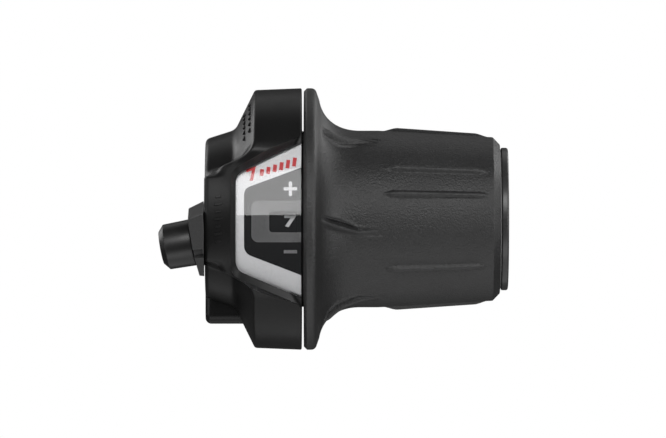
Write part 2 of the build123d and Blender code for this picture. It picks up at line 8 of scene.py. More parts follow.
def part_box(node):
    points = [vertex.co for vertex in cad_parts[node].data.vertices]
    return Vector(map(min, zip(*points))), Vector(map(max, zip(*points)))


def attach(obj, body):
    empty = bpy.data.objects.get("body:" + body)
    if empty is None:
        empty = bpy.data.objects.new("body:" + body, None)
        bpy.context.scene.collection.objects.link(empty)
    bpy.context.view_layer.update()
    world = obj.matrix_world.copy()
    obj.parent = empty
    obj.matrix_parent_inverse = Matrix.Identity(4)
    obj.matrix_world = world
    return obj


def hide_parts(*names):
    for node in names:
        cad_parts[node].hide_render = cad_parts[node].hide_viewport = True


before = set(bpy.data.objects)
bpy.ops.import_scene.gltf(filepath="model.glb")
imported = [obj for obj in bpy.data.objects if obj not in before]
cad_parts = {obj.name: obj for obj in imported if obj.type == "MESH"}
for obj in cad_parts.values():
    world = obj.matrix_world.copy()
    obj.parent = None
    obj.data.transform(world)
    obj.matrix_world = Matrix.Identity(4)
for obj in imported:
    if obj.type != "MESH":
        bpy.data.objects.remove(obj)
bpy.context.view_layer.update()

# The part's lengths are millimetres, turned into metres where a mesh is made. The floor, the
# lamps and the camera are in metres.
# X runs along the handlebar, the rider is on the -Y side and Z is up. Angles round the
# bar are counted from the rider's side (-Y) towards the top (+Z), in degrees.
MM = 0.001
TURN = 360.0


def box_mm(node):
    """A CAD node's lowest and highest corners, in millimetres."""
    low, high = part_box(node)
    return [c / MM for c in low], [c / MM for c in high]


cover_high = box_mm("housing_cover")[1]
grip_low, grip_high = box_mm("grip_rubber")
ring_low, ring_high = box_mm("end_ring")
RIM_X = cover_high[0]
RIM_R = cover_high[2]
FLANGE_X = grip_low[0]
FLANGE_R = grip_high[2]
GRIP_END = grip_high[0]
RING_X0, RING_X1 = ring_low[0], ring_high[0]
RING_R = ring_high[2]


# ---- small maths ------------------------------------------------------------------------

def smooth(low, high, value):
    """Rises softly from 0 to 1 as value goes from low to high."""
    t = min(max((value - low) / (high - low), 0.0), 1.0)
    return t * t * (3 - 2 * t)


def mix(a, b, t):
    return a + (b - a) * t


def around(x, r, angle):
    """Point at station x, distance r from the bar axis and an angle, in millimetres."""
    turn = math.radians(angle)
    return Vector((x, -r * math.cos(turn), r * math.sin(turn)))


def rounded(corners, steps=6, closed=False):
    """Outline through (a, b, radius) corners, with each radius as an arc."""
    path = []
    count = len(corners)
    for i, (a, b, radius) in enumerate(corners):
        here = Vector((a, b))
        if radius <= 0 or (not closed and i in (0, count - 1)):
            path.append((a, b))
            continue
        before = Vector(corners[i - 1][:2]) - here
        after = Vector(corners[(i + 1) % count][:2]) - here
        half = before.angle(after) / 2
        reach = min(radius / math.tan(half), before.length * 0.49, after.length * 0.49)
        bend_r = reach * math.tan(half)
        centre = here + (before.normalized() + after.normalized()).normalized() * bend_r / math.sin(half)
        start = here + before.normalized() * reach - centre
        end = here + after.normalized() * reach - centre
        sweep = start.angle_signed(end)
        for k in range(steps + 1):
            turned = start.copy()
            turned.rotate(Matrix.Rotation(-sweep * k / steps, 2))
            path.append(tuple(centre + turned))
    return path


def spaced(path, step):
    """The same open outline with long stretches cut into pieces no longer than step."""
    points = [path[0]]
    for a, b in zip(path, path[1:]):
        length = math.dist(a, b)
        pieces = max(1, math.ceil(length / step))
        points += [(mix(a[0], b[0], k / pieces), mix(a[1], b[1], k / pieces)) for k in range(1, pieces + 1)]
    return points


# ---- mesh helpers -----------------------------------------------------------------------

def mesh_object(name, points, faces):
    """A mesh object from points in millimetres, doubles merged and faces turned outwards."""
    mesh = bpy.data.meshes.new(name)
    mesh.from_pydata([tuple(c * MM for c in p) for p in points], [], faces)
    work = bmesh.new()
    work.from_mesh(mesh)
    bmesh.ops.remove_doubles(work, verts=work.verts, dist=1e-7)
    bmesh.ops.recalc_face_normals(work, faces=work.faces)
    work.to_mesh(mesh)
    work.free()
    result = bpy.data.objects.new(name, mesh)
    bpy.context.scene.collection.objects.link(result)
    return result


def make_piece(name, points, faces, material, body, sharp=35.0):
    """A smooth-shaded piece from points in millimetres, riding on a CAD body."""
    return dress(mesh_object(name, points, faces), material, body, sharp)


def dress(piece, material, body, sharp=35.0):
    """Shade a piece, give it its material and make it ride."""
    piece.data.shade_smooth()
    piece.data.set_sharp_from_angle(angle=math.radians(sharp))
    piece.data.materials.clear()
    piece.data.materials.append(material)
    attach(piece, body)
    return piece


def tube_faces(rings, count, loop=True):
    """Quads between neighbouring rings of count points; loop joins the last to the first."""
    faces = []
    for i in range(rings if loop else rings - 1):
        j = (i + 1) % rings
        for k in range(count):
            m = (k + 1) % count
            faces.append((i * count + k, i * count + m, j * count + m, j * count + k))
    return faces


def lathe(profile, count, place=None):
    """Points and faces of a closed outline of (x, r) turned about the bar axis, then placed."""
    points = []
    for x, r in profile:
        for k in range(count):
            point = around(x, r, TURN * k / count)
            points.append(place(point) if place else point)
    return points, tube_faces(len(profile), count)


def slab_faces(columns, rows, layers):
    """Faces of a closed slab: matching grids of points, one layer below another."""
    size = rows + 1
    block = (columns + 1) * size
    bottom = (layers - 1) * block
    faces = []
    for i in range(columns):
        for m in range(rows):
            a = i * size + m
            quad = (a, a + 1, a + size + 1, a + size)
            faces.append(quad)
            faces.append(tuple(bottom + v for v in reversed(quad)))
    border = [i * size for i in range(columns + 1)]
    border += [columns * size + m for m in range(1, rows + 1)]
    border += [i * size + rows for i in range(columns - 1, -1, -1)]
    border += [m for m in range(rows - 1, 0, -1)]
    for a, b in zip(border, border[1:] + border[:1]):
        for start in range(0, bottom, block):
            faces.append((a + start, b + start, b + start + block, a + start + block))
    return faces


def apply_modifiers(piece):
    """Bake a piece's modifiers into its mesh."""
    graph = bpy.context.evaluated_depsgraph_get()
    baked = bpy.data.meshes.new_from_object(piece.evaluated_get(graph))
    piece.modifiers.clear()
    piece.data = baked


def cut(piece, tools, operation="DIFFERENCE"):
    """Boolean a list of closed tools into a piece, and throw the tools away."""
    for tool in tools:
        change = piece.modifiers.new("cut", "BOOLEAN")
        change.operation = operation
        change.solver = "EXACT"
        change.object = tool
        apply_modifiers(piece)
        bpy.data.objects.remove(tool)


# ---- materials --------------------------------------------------------------------------

def link(tree, source, target):
    tree.links.new(source, target)


def base_material(name, roughness, **inputs):
    """A Principled material and its tree, with uniform values set on its own sockets."""
    material = bpy.data.materials.new(name)
    material.use_nodes = True
    tree = material.node_tree
    shader = tree.nodes["Principled BSDF"]
    shader.inputs["Roughness"].default_value = roughness
    for socket, value in inputs.items():
        shader.inputs[socket.replace("_", " ")].default_value = value
    place = tree.nodes.new("ShaderNodeTexCoord")
    return material, tree, shader, place.outputs["Object"]


def noise_node(tree, place, scale, detail=3.0, rough=0.55):
    """Cloudy noise fixed to the object, with scale in waves per metre."""
    noise = tree.nodes.new("ShaderNodeTexNoise")
    noise.inputs["Scale"].default_value = scale
    noise.inputs["Detail"].default_value = detail
    noise.inputs["Roughness"].default_value = rough
    link(tree, place, noise.inputs["Vector"])
    return noise.outputs["Fac"]


def ramp_node(tree, fac, stops):
    """A colour between two (position, colour) stops."""
    ramp = tree.nodes.new("ShaderNodeValToRGB")
    for element, (position, colour) in zip(ramp.color_ramp.elements, stops):
        element.position = position
        element.color = colour
    link(tree, fac, ramp.inputs["Fac"])
    return ramp.outputs["Color"]


def grey(value):
    return (value, value, value * 1.01, 1.0)


def range_node(tree, fac, low, high):
    """Map a noise, which mostly lies between 0.3 and 0.7, onto low to high."""
    change = tree.nodes.new("ShaderNodeMapRange")
    change.inputs["From Min"].default_value = 0.3
    change.inputs["From Max"].default_value = 0.7
    change.inputs["To Min"].default_value = low
    change.inputs["To Max"].default_value = high
    link(tree, fac, change.inputs["Value"])
    return change.outputs["Result"]


def bump_node(tree, shader, heights, distance, strength):
    """Chain bumps from a list of heights."""
    normal = None
    for height, amount in heights:
        bump = tree.nodes.new("ShaderNodeBump")
        bump.inputs["Distance"].default_value = distance * amount
        bump.inputs["Strength"].default_value = strength
        link(tree, height, bump.inputs["Height"])
        if normal:
            link(tree, normal, bump.inputs["Normal"])
        normal = bump.outputs["Normal"]
    link(tree, normal, shader.inputs["Normal"])


def moulded(name, tone, roughness, grain_mm, depth_mm, edge_highlight_level=0.5, spread=0.06, **inputs):
    """Moulded plastic or rubber: fine grain, uneven gloss and a painted highlight that makes sharp edges
    paler.
    """
    material, tree, shader, place = base_material(name, roughness, **inputs)
    grain = noise_node(tree, place, 1.0 / (grain_mm * MM), 2.0, 0.6)
    clouds = noise_node(tree, place, 140.0, 4.0, 0.6)
    body = ramp_node(tree, grain, [(0.34, grey(tone * 0.82)), (0.68, grey(tone * 1.2))])
    # painted highlight: edges found by pointiness get a paler colour, standing in for the light that
    # rounded edges catch
    edges = tree.nodes.new("ShaderNodeNewGeometry").outputs["Pointiness"]
    painted_edge_highlight = ramp_node(tree, edges, [(0.505, grey(0.0)), (0.56, grey(edge_highlight_level))])
    blend = tree.nodes.new("ShaderNodeMix")
    blend.data_type = "RGBA"
    link(tree, painted_edge_highlight, blend.inputs["Factor"])
    link(tree, body, blend.inputs["A"])
    blend.inputs["B"].default_value = grey(tone * 2.4)
    link(tree, blend.outputs["Result"], shader.inputs["Base Color"])
    link(tree, range_node(tree, clouds, roughness - spread, roughness + spread), shader.inputs["Roughness"])
    bump_node(tree, shader, [(grain, 1.0), (clouds, 0.3)], depth_mm * MM, 1.0)
    return material


def metal(name, tone, roughness):
    """Turned or plated steel with fine streaks that run round the bar's axis."""
    material, tree, shader, place = base_material(name, roughness, Metallic=1.0)
    stretch = tree.nodes.new("ShaderNodeMapping")
    stretch.inputs["Scale"].default_value = (14.0, 1.0, 1.0)
    link(tree, place, stretch.inputs["Vector"])
    streaks = noise_node(tree, stretch.outputs["Vector"], 900.0, 4.0, 0.7)
    link(tree, ramp_node(tree, streaks, [(0.3, grey(tone * 0.75)), (0.7, grey(tone * 1.2))]),
         shader.inputs["Base Color"])
    link(tree, range_node(tree, streaks, roughness - 0.08, roughness + 0.12), shader.inputs["Roughness"])
    bump_node(tree, shader, [(streaks, 1.0)], 0.01 * MM, 0.6)
    return material


def clear_plastic(name):
    """Clear lens: see-through with a glossy surface and faint scuffs."""
    material, tree, shader, place = base_material(name, 0.03, IOR=3.0)
    shader.inputs["Base Color"].default_value = (0.03, 0.032, 0.034, 1.0)
    shader.inputs["Alpha"].default_value = 0.2
    scuffs = noise_node(tree, place, 2600.0, 5.0, 0.75)
    link(tree, range_node(tree, scuffs, 0.015, 0.05), shader.inputs["Roughness"])
    material.surface_render_method = "BLENDED"
    return material


def printed(name, colour, roughness=0.38):
    """Printed ink: one colour with a faint uneven laydown."""
    material, tree, shader, place = base_material(name, roughness)
    laydown = noise_node(tree, place, 1800.0, 3.0, 0.6)
    darker = tuple(c * 0.93 for c in colour) + (1.0,)
    link(tree, ramp_node(tree, laydown, [(0.3, darker), (0.7, tuple(colour) + (1.0,))]),
         shader.inputs["Base Color"])
    link(tree, range_node(tree, laydown, roughness - 0.05, roughness + 0.06), shader.inputs["Roughness"])
    return material


# moulded: name, tone, roughness, then the grain's size and depth in millimetres, and how pale the painted
# edge highlight goes
housing_black = moulded("housing_black", 0.0085, 0.36, 0.22, 0.012, edge_highlight_level=0.3, Specular_IOR_Level=0.23)
rubber_black = moulded("rubber_black", 0.0185, 0.44, 0.36, 0.16, edge_highlight_level=0.3, Specular_IOR_Level=0.52)
collar_black = moulded("collar_black", 0.03, 0.4, 0.22, 0.012, edge_highlight_level=0.3, Specular_IOR_Level=0.3)
ring_black = moulded("ring_black", 0.034, 0.3, 0.22, 0.008, edge_highlight_level=0.3)
barrel_black = moulded("barrel_black", 0.008, 0.36, 0.3, 0.008, edge_highlight_level=0.3)
inner_black = moulded("inner_black", 0.022, 0.5, 0.3, 0.015, edge_highlight_level=0.3)
panel_black = moulded("panel_black", 0.004, 0.5, 0.15, 0.004, edge_highlight_level=0.1, Specular_IOR_Level=0.04)
dial_black = moulded("dial_black", 0.006, 0.5, 0.15, 0.006, edge_highlight_level=0.2, Specular_IOR_Level=0.06)
plug_black = moulded("plug_black", 0.022, 0.6, 0.25, 0.02, edge_highlight_level=0.3)
nylon = moulded("nylon", 0.42, 0.45, 0.4, 0.012, edge_highlight_level=0.2)
plated_steel = metal("plated_steel", 0.55, 0.32)
black_steel = metal("black_steel", 0.06, 0.38)
lens_clear = clear_plastic("lens_clear")
ink_white = printed("ink_white", (0.72, 0.72, 0.73))
ink_grey = printed("ink_grey", (0.2, 0.2, 0.205))
ink_red = printed("ink_red", (0.62, 0.035, 0.04))
band_white = printed("band_white", (0.8, 0.8, 0.815), 0.3)
frame_grey = moulded("frame_grey", 0.11, 0.3, 0.15, 0.004, edge_highlight_level=0.1)


# ---- rubber sleeve ----------------------------------------------------------------------

SLEEVE_R = 18.1
FLARE_END = 31.4
FLARE = (Vector((23.3, 24.3)), Vector((23.85, 21.0)), Vector((26.4, 18.2)), Vector((FLARE_END, SLEEVE_R)))
FLANGE_BACK = 22.45
TAPER_X0, TAPER_X1, TAPER_R = 35.4, 58.8, 16.76
MOUTH_X, MOUTH_R = 59.86, 14.62
HUB_R = 13.95
# the groove inside the flange, and the round opening in the flange's inboard wall
GROOVE_X0, GROOVE_X1 = 20.85, 21.95
GROOVE_R, GROOVE_MOUTH_R = 24.7, 18.05
RIB_X0, RIB_X1 = 35.9, 58.2
LEAF_X0, LEAF_X1 = 23.2, 36.3
LEAF_R = 19.5
# the height and half width of a rib, near the flange and near the end ring
RIB_HEIGHTS = (0.85, 0.6)
RIB_HALVES = (0.84, 0.76)
# the angle of each rib
RIBS = (35.0, 16.5, -34.5, -95.0, 93.0, 128.0, 150.0, 180.0, -125.0, -150.0)
# each leaf: angles at root and tip, half width, how it curves, its height, and the side of its lip
LEAVES = (
    (55.0, 64.0, 3.0, 1.3, 1.9, -1),
    (0.4, -12.0, 2.0, 0.85, 2.2, 1),
    (-72.0, -57.0, 3.4, 1.1, 1.9, 1),
    (112.0, 101.0, 2.4, 1.0, 1.3, -1),
    (165.0, 152.0, 2.0, 1.0, 1.7, -1),
    (-138.0, -124.0, 2.0, 1.0, 1.7, 1),
)


def flare_point(t):
    """Point (x, r) on the concave flare between the flange and the sleeve."""
    a, b, c, d = FLARE
    u = 1 - t
    return tuple(a * u**3 + b * 3 * u * u * t + c * 3 * u * t * t + d * t**3)


def rib_height(x, angle):
    """How far the long ribs stand above the sleeve."""
    if not RIB_X0 < x < RIB_X1:
        return 0.0
    s = (x - RIB_X0) / (RIB_X1 - RIB_X0)
    rise = smooth(0.0, 0.16, s) * (1 - smooth(0.86, 1.0, s))
    height = mix(*RIB_HEIGHTS, s) * rise
    half = mix(*RIB_HALVES, s) * (0.1 + 0.9 * math.sqrt(rise))
    total = 0.0
    for centre in RIBS:
        away = abs((angle - centre + 180) % TURN - 180)
        across = math.radians(away) * SLEEVE_R / half
        if across < 1:
            total = max(total, height * (1 - across**2.2))
    return total


def leaf_section(t, lip_height):
    """Height across a leaf, from its lip at -1, over a hollow, to its crest and down to 1."""
    lip = max(0.0, 1 - ((t + 0.74) / 0.26) ** 2) * lip_height
    crest = smooth(-0.46, -0.06, t) * (1 - smooth(0.0, 1.0, t))
    return max(lip, crest)


def leaf_height(x, angle):
    """How far the leaf-shaped gussets stand above the flare."""
    if not LEAF_X0 < x < LEAF_X1:
        return 0.0
    s = (x - LEAF_X0) / (LEAF_X1 - LEAF_X0)
    share = smooth(0.0, 0.2, s) * (1 - s) ** 0.85
    total = 0.0
    for root, tip, half, curve, height, lip in LEAVES:
        centre = mix(root, tip, s**curve)
        width = half * (1 - s) ** 0.62 * (0.55 + 0.45 * smooth(0.0, 0.4, s))
        away = (centre - angle + 180) % TURN - 180
        across = math.radians(away) * LEAF_R / width * lip
        if abs(across) < 1:
            section = leaf_section(across, 0.34 * (1 - smooth(0.45, 0.8, s)))
            total = max(total, height * share * section)
    return total


def build_grip():
    """Twist sleeve: flange, concave flare, ribbed taper and chamfered end, over its bore."""
    count = 640
    chamfer = 0.65
    rim = rounded([(FLANGE_X, GROOVE_MOUTH_R, 0), (FLANGE_X, FLANGE_R - chamfer, 0.2),
                   (FLANGE_X + chamfer, FLANGE_R, 0.3), (FLANGE_BACK, FLANGE_R, 1.6),
                   (FLARE[0].x, FLARE[0].y, 0)], 7)
    flare = [flare_point(k / 26) for k in range(1, 27)]
    end = rounded([(FLARE_END, SLEEVE_R, 0), (TAPER_X0, SLEEVE_R, 3.0), (TAPER_X1, TAPER_R, 0.35),
                   (GRIP_END, 15.25, 0.3), (GRIP_END, 14.75, 0.1), (MOUTH_X, MOUTH_R, 0)], 5)
    inside = [(MOUTH_X, HUB_R), (GROOVE_X1, HUB_R), (GROOVE_X1, GROOVE_R), (GROOVE_X0, GROOVE_R),
              (GROOVE_X0, GROOVE_MOUTH_R)]
    outline = spaced(rim, 1.2) + flare + spaced(end[1:], 0.3) + inside
    points = []
    for x, r in outline:
        for k in range(count):
            angle = TURN * k / count
            lift = 0.0
            if r > MOUTH_R and x > LEAF_X0:
                lift = max(rib_height(x, angle), leaf_height(x, angle))
            points.append(around(x, r + lift, angle))
    piece = make_piece("grip_sleeve", points, tube_faces(len(outline), count), rubber_black,
                       "rotor", 40)
    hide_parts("grip_rubber")


build_grip()


# ---- housing ----------------------------------------------------------------------------

BORE_R = 12.6
# the cone between the nose and the drum, as (x, radius) at each end
SHOULDER = (6.1, 18.3)
DRUM = (10.1, 26.42)
# the lens is a cone, as in the CAD
LENS_X0, LENS_X1 = 6.4, 19.7
LENS_R0, LENS_R1 = 22.4, 25.9


def lens_radius(x):
    """Outer radius of the lens at station x."""
    return mix(LENS_R0, LENS_R1, (x - LENS_X0) / (LENS_X1 - LENS_X0))


# the drum's edge line sweeps inboard in front and becomes the left side of the window recess;
# each point is an angle away from the rider's side and a station
EDGE_X0, EDGE_R0 = 5.25, 23.2
EDGE_LINE = ((22.5, EDGE_X0), (25.5, 5.5), (28.4, 6.3), (29.7, 7.3), (30.9, 8.5), (32.4, 9.4),
             (34.6, 9.8), (36.5, 10.1))
# corners of the outline as (x, radius): the nose's in front, the cone's elsewhere
NOSE_CORNER = Vector((0.0, 22.55))
NOSE_KNEE = Vector((3.6, 22.95))
CONE_CORNER = Vector((0.0, 16.35))
BORE_EDGE = Vector((0.0, BORE_R))


def edge_station(away):
    """Station of the drum's edge line, at an angle away from the rider's side."""
    for (a0, x0), (a1, x1) in zip(EDGE_LINE, EDGE_LINE[1:]):
        if away <= a1:
            return mix(x0, x1, min(max((away - a0) / (a1 - a0), 0.0), 1.0))
    return DRUM[0]


def edge_curve(away):
    """The edge line, softened by averaging over a couple of degrees."""
    return sum(edge_station(away + step) for step in (-1.2, -0.6, 0.0, 0.6, 1.2)) / 5


def bend(before, corner, after, reach, steps):
    """Points of a rounded corner that starts and ends at a distance from it."""
    back, on = before - corner, after - corner
    start = corner + back.normalized() * min(reach, back.length * 0.48)
    end = corner + on.normalized() * min(reach, on.length * 0.48)
    points = []
    for k in range(steps + 1):
        t = k / steps
        points.append(start * (1 - t) ** 2 + corner * 2 * t * (1 - t) + end * t * t)
    return points


def run(start, end, steps):
    """Points between two points, without the ends."""
    return [start.lerp(end, k / steps) for k in range(1, steps)]


def cover_profile(away):
    """Outer outline of the housing as (x, r), at an angle away from the rider's side."""
    edge_x = edge_curve(away)
    edge = Vector((edge_x, mix(EDGE_R0, DRUM[1], (edge_x - EDGE_X0) / (DRUM[0] - EDGE_X0))))
    corner = NOSE_CORNER.lerp(CONE_CORNER, smooth(21.5, 29.5, away))
    knee = NOSE_KNEE.lerp(Vector(SHOULDER), smooth(27.0, 38.0, away))
    rim = Vector((RIM_X, RIM_R))
    rim_under = Vector((RIM_X, RIM_R - 1.6))
    first = bend(BORE_EDGE, corner, knee, 1.0, 6)
    second = bend(corner, knee, edge, 1.1, 6)
    third = bend(knee, edge, rim, 0.5, 5)
    fourth = bend(edge, rim, rim_under, 0.35, 4)
    outline = [BORE_EDGE] + run(BORE_EDGE, first[0], 7) + first + run(first[-1], second[0], 9) + second
    outline += run(second[-1], third[0], 11) + third + run(third[-1], fourth[0], 14) + fourth
    # in front the wall goes deeper, so that the window recess ends in solid plastic
    front = 1 - smooth(50, 60, away)
    bend_x, wall_x, under_lens = 11.4, 1.2, 1.9
    inside = [(RIM_X, mix(RIM_R - 1.7, lens_radius(RIM_X) - under_lens, front)),
              (bend_x, mix(24.8, lens_radius(bend_x) - under_lens, front)),
              (7.2, 16.9), (wall_x, 14.9), (wall_x, BORE_R)]
    return outline + [Vector(p) for p in inside]


def frange(low, high, step):
    """Evenly spaced numbers from low up to, but not including, high."""
    count = int(round((high - low) / step))
    return [mix(low, high, k / count) for k in range(count)]


def build_shell():
    """Outer shell of the housing as one closed skin, with the nose blended in."""
    angles = frange(-50, 50, 0.5) + frange(50, 310, 1.25)
    columns = []
    for angle in angles:
        away = abs(angle) if angle <= 180 else TURN - angle
        columns.append([around(p.x, p.y, angle) for p in cover_profile(away)])
    count = len(columns[0])
    points = [column[i] for i in range(count) for column in columns]
    return points, tube_faces(count, len(angles))


def span_at(x, corners):
    """Lowest and highest z of a closed outline at station x."""
    path = rounded(corners, 14, closed=True)
    hits = []
    for i, (xa, za) in enumerate(path):
        xb, zb = path[(i + 1) % len(path)]
        if min(xa, xb) <= x <= max(xa, xb) and abs(xb - xa) > 1e-9:
            hits.append(mix(za, zb, (x - xa) / (xb - xa)))
    return min(hits), max(hits)


def along(path, share):
    """Point at a share of a path's length."""
    steps = [math.dist(p, q) for p, q in zip(path, path[1:])]
    goal = share * sum(steps)
    for (p, q), step in zip(zip(path, path[1:]), steps):
        if goal <= step:
            t = goal / max(step, 1e-9)
            return mix(p[0], q[0], t), mix(p[1], q[1], t)
        goal -= step
    return path[-1]


def open_outline(corners, x1):
    """An outline with four or more corners, cut off at station x1 and open there."""
    inner = [p for p in rounded(corners, 10, closed=True) if p[0] < x1]
    low, high = span_at(x1, corners)
    return [(x1, low)] + inner + [(x1, high)]


# outlines of the window as (x, z, corner radius), all running past the rim, where they are open
PAST_RIM = 20.9
LENS_CORNERS = [(PAST_RIM, -16.5, 0), (LENS_X0, -10.3, 2.6), (LENS_X0, 8.95, 2.6), (12.1, 11.9, 3.0),
                (PAST_RIM, 16.1, 0)]
BEZEL_CORNERS = [(PAST_RIM, -20.0, 0), (19.9, -20.0, 0), (19.6, -17.45, 2.6), (5.35, -11.4, 3.3),
                 (5.35, 9.95, 3.3), (10.0, 12.1, 3.0), (19.6, 16.7, 2.6), (19.9, 19.4, 0),
                 (PAST_RIM, 19.4, 0)]


def on_cylinder(x, z, r):
    """Point on the rider's side at distance r from the bar axis."""
    return Vector((x, -math.sqrt(max(r * r - z * z, 0.01)), z))


def paired_outlines():
    """The lens outline and the wider recess outline, with matching points."""
    count, end = 170, PAST_RIM - 0.3
    lens = open_outline(LENS_CORNERS, end)
    wide = open_outline(BEZEL_CORNERS, end)
    return ([along(path, k / count) for k in range(count + 1)] for path in (lens, wide))


def surface_radius(x):
    """Radius of the housing's outer surface beside the window."""
    return mix(EDGE_R0 + 0.05, RIM_R, (x - EDGE_X0) / (RIM_X - EDGE_X0))


def window_tool():
    """Cutter for the window: straight through behind the lens, sloping out in front of it."""
    lens, wide = paired_outlines()
    back_y, front_y, spread = -13.0, -48.0, 1.3
    loops = [[], [], [], [], []]
    for (x0, z0), (x1, z1) in zip(lens, wide):
        floor = on_cylinder(x0, z0, lens_radius(x0) - 0.3)
        top = on_cylinder(x1, z1, surface_radius(x1))
        section = (Vector((x0, back_y, z0)), floor, top, Vector((x1, top.y * spread, top.z * spread)),
                   Vector((x1, front_y, top.z * spread)))
        for loop, point in zip(loops, section):
            loop.append(point)
    points = [p for loop in loops for p in loop]
    count = len(loops[0])
    starts = [i * count for i in range(len(loops))]
    faces = []
    for a, b in zip(starts, starts[1:]):
        faces += [(a + k, a + k + 1, b + k + 1, b + k) for k in range(count - 1)]
    faces.append(tuple(range(starts[0], starts[0] + count)))
    faces.append(tuple(range(starts[-1], starts[-1] + count)))
    # the open side beyond the rim is one flat face
    faces.append(tuple(starts) + tuple(a + count - 1 for a in reversed(starts)))
    return mesh_object("window_tool", points, faces)


def rod_tool(centre, direction, radius, length, count=48):
    """A solid rod from a point along a direction."""
    way = Vector(direction).normalized()
    turn = Vector((0, 0, 1)).rotation_difference(way).to_matrix()
    points = []
    for reach in (0.0, length):
        for k in range(count):
            angle = 2 * math.pi * k / count
            point = turn @ Vector((radius * math.cos(angle), radius * math.sin(angle), reach))
            points.append(Vector(centre) + point)
    faces = tube_faces(2, count, loop=False)
    faces += [tuple(range(count)), tuple(range(count, 2 * count))]
    return mesh_object("rod_tool", points, faces)


def lump_tool():
    """Clamp lump under the nose: a block with rounded edges below and a rounded inboard end."""
    low_y, high_y, low_z, high_z = -3.4, 12.2, -21.45, -12.0
    length = 9.3
    section = rounded([(low_y, low_z, 2.0), (high_y, low_z, 2.0), (high_y, high_z, 0), (low_y, high_z, 0)],
                      8, closed=True)
    centre = ((low_y + high_y) / 2, (low_z + high_z) / 2)
    round_r = 1.2
    loops = []
    for k in range(9):
        turn = math.radians(90 * k / 8)
        inset = round_r * (1 - math.sin(turn))
        loops.append((round_r * (1 - math.cos(turn)), inset))
    loops.append((length, 0.0))
    points = []
    for x, inset in loops:
        shrink_y = 1 - inset / (high_y - low_y) * 2
        shrink_z = 1 - inset / (high_z - low_z) * 2
        for y, z in section:
            points.append(Vector((x, centre[0] + (y - centre[0]) * shrink_y,
                                  centre[1] + (z - centre[1]) * shrink_z)))
    count = len(section)
    faces = tube_faces(len(loops), count, loop=False)
    faces += [tuple(range(count)), tuple(range(len(points) - count, len(points)))]
    return mesh_object("lump_tool", points, faces)


def build_housing():
    """Housing shell with clamp lump, window recess, screw pockets and port."""
    points, faces = build_shell()
    piece = make_piece("housing_shell", points, faces, housing_black, "shifter_body")
    cut(piece, [lump_tool()], "UNION")
    screw_r, screw_angles, head_r = 20.6, (142, 218), 2.6
    pockets = [rod_tool(around(3, screw_r, angle), (1, 0, 0), head_r, 5.6) for angle in screw_angles]
    bolt_head, bolt_head_r = (4.4, 6.8, -16.5), 3.7
    bolt_pocket = rod_tool(bolt_head, (0, 1, 0), bolt_head_r, 8)
    groove_x, groove_r, port_angle, port_r = 14.8, 15.1, -60, 2.62
    port = rod_tool(around(groove_x, groove_r, port_angle) + Vector((0, 13, -7.5)) * 0.5,
                    (0, math.cos(math.radians(30)), -0.5), port_r, 30)
    bore = rod_tool((-1, 0, 0), (1, 0, 0), BORE_R, 10, 96)
    cut(piece, pockets + [bolt_pocket, port, bore, window_tool()])
    dress(piece, housing_black, "shifter_body", 30)
    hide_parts("housing_cover")


build_housing()


# ---- window: lens, printed panel, marks ---------------------------------------------------

def patch(corners, x0, x1, top, bottom, columns=56, rows=60, edge=0.0):
    """A curved slab inside an outline: top and bottom give its radii at station x."""
    stations = [x0 + (x1 - x0) * (k / columns) ** 1.6 for k in range(columns + 1)]
    layers = []
    for radius, inset in ((top, edge), (lambda x: top(x) - edge, 0.0), (bottom, 0.0)):
        layer = []
        for x in stations:
            low, high = span_at(min(max(x, x0 + 0.004), x1 - 1e-4), corners)
            for m in range(rows + 1):
                z = mix(low + inset, high - inset, m / rows)
                layer.append(on_cylinder(max(x, x0 + inset), z, radius(x)))
        layers.append(layer)
    points = layers[0] + layers[1] + layers[2]
    return points, slab_faces(columns, rows, len(layers))


LENS_END = RIM_X - 0.04


def build_lens():
    """Clear lens with a small chamfer round its top, ending just short of the rim."""
    gap, thick = 0.03, 0.95
    points, faces = patch(LENS_CORNERS, LENS_X0 + gap, LENS_END, lens_radius,
                          lambda x: lens_radius(x) - thick, edge=0.12)
    piece = make_piece("lens", points, faces, lens_clear, "shifter_body", 50)
    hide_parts("window_lens")


PANEL_DEPTH = 1.05
# the band's inner edge, the number frame's outside, and the opening through which a figure shows
BAND_CORNERS = [(PAST_RIM, -11.85, 0), (8.1, -6.95, 2.2), (8.1, 6.15, 1.8), (PAST_RIM, 10.85, 0)]
NUMBER_CORNERS = [(PAST_RIM, -4.7, 0), (9.6, -4.7, 1.4), (9.6, 3.7, 1.4), (PAST_RIM, 3.7, 0)]
SIGHT_CORNERS = [(PAST_RIM, -2.7, 0), (13.2, -2.7, 0.7), (13.2, 1.6, 0.7), (PAST_RIM, 1.6, 0)]


def panel_radius(x):
    """Radius of the panel's printed face at station x."""
    return lens_radius(x) - PANEL_DEPTH


def framed(outer, inner, outer_radius, inner_radius, under):
    """A slab between two outlines that are open at the rim, curved round the bar axis."""
    samples, steps = 150, 8
    outside = open_outline(outer, LENS_END)
    inside = open_outline(inner, LENS_END)
    rows = []
    for depth in (0.0, under):
        shares = [k / steps for k in range(steps + 1)]
        for share in (shares if depth == 0.0 else reversed(shares)):
            row = []
            for k in range(samples + 1):
                xa, za = along(outside, k / samples)
                xb, zb = along(inside, k / samples)
                x = mix(xa, xb, share)
                r = mix(outer_radius(x), inner_radius(x), share) - depth
                row.append(on_cylinder(x, mix(za, zb, share), r))
            rows.append(row)
    points = [p for row in rows for p in row]
    size = samples + 1
    faces = []
    for i in range(len(rows)):
        j = (i + 1) % len(rows)
        for k in range(samples):
            faces.append((i * size + k, i * size + k + 1, j * size + k + 1, j * size + k))
    for k in (0, samples):
        for i in range(steps):
            below = len(rows) - 1 - i
            faces.append(tuple(row * size + k for row in (i, i + 1, below - 1, below)))
    return points, faces


